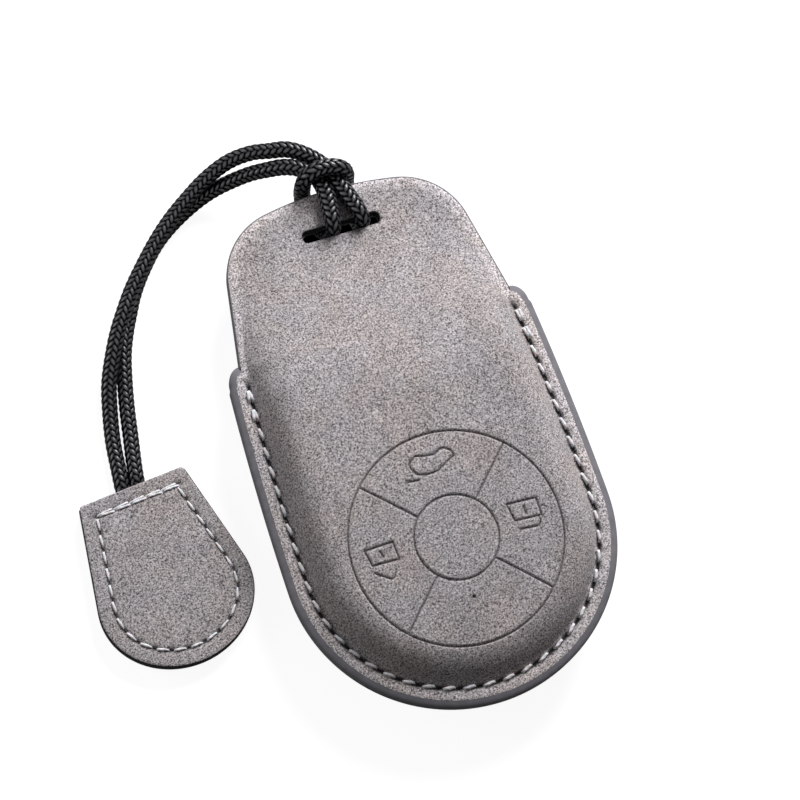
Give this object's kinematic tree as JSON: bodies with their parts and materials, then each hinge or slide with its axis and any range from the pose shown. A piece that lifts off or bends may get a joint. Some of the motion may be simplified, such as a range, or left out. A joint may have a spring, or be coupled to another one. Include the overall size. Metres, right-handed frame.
{
  "type": "car key pouch",
  "caption": "Moulded suede leather pouch with a round sewn end that holds a key fob, tied shut through a slot by a doubled waxed cord that ends in a small sewn leather tag.",
  "frame": {"origin": "centre of the pouch's round end, on the surface it lies on (its flat back)", "axes": "+Z out of the front, +Y from the round end towards the mouth and the cord's slot, +X to the right seen from the front"},
  "size_m": [0.092, 0.11, 0.0155],
  "materials": {
    "suede_leather": "grey-taupe nubuck with a soft nap",
    "lining": "dark microfibre",
    "edge_paint": "satin grey edge paint",
    "black_edge_paint": "satin black edge paint",
    "bonded_board": "matt bonded leather board",
    "thread": "white waxed sewing thread",
    "waxed_cord": "black braided cord with a waxed sheen"
  },
  "bodies": {
    "pouch": {"front_panel": "suede_leather", "back_panel": "suede_leather", "front_lining": "lining", "back_lining": "lining", "flange_edge_coat": "edge_paint", "front_tongue_coat": "edge_paint", "back_tongue_coat": "edge_paint", "front_seam_thread": "thread", "back_seam_thread": "thread"},
    "hitch": {"cord_hitch": "waxed_cord"},
    "cord": {"cord_strand_outer": "waxed_cord", "cord_strand_inner": "waxed_cord"},
    "tag": {"cord_end_outer": "waxed_cord", "cord_end_inner": "waxed_cord", "tag_front": "suede_leather", "tag_back": "suede_leather", "tag_core": "bonded_board", "tag_edge_coat": "black_edge_paint", "tag_front_thread": "thread", "tag_back_thread": "thread"}
  },
  "joints": [
    {"name": "hitch_slide", "type": "slide", "parent": "pouch", "child": "hitch", "axis": [1, 0, 0], "range_m": [-0.0035, 0.0012]},
    {"name": "cord_swing", "type": "hinge", "parent": "hitch", "child": "cord", "pos_m": [-0.00827, 0.07673, 0.00919], "axis": [0, 0, 1], "range_deg": [-80, 2], "deforming": ["cord_strand_outer", "cord_strand_inner"]},
    {"name": "tag_lift", "type": "hinge", "parent": "cord", "child": "tag", "pos_m": [-0.04985, 0.02777, 0.0017], "axis": [-0.9966, -0.0819, 0], "range_deg": [0, 95], "deforming": ["cord_strand_outer", "cord_strand_inner"]}
  ]
}
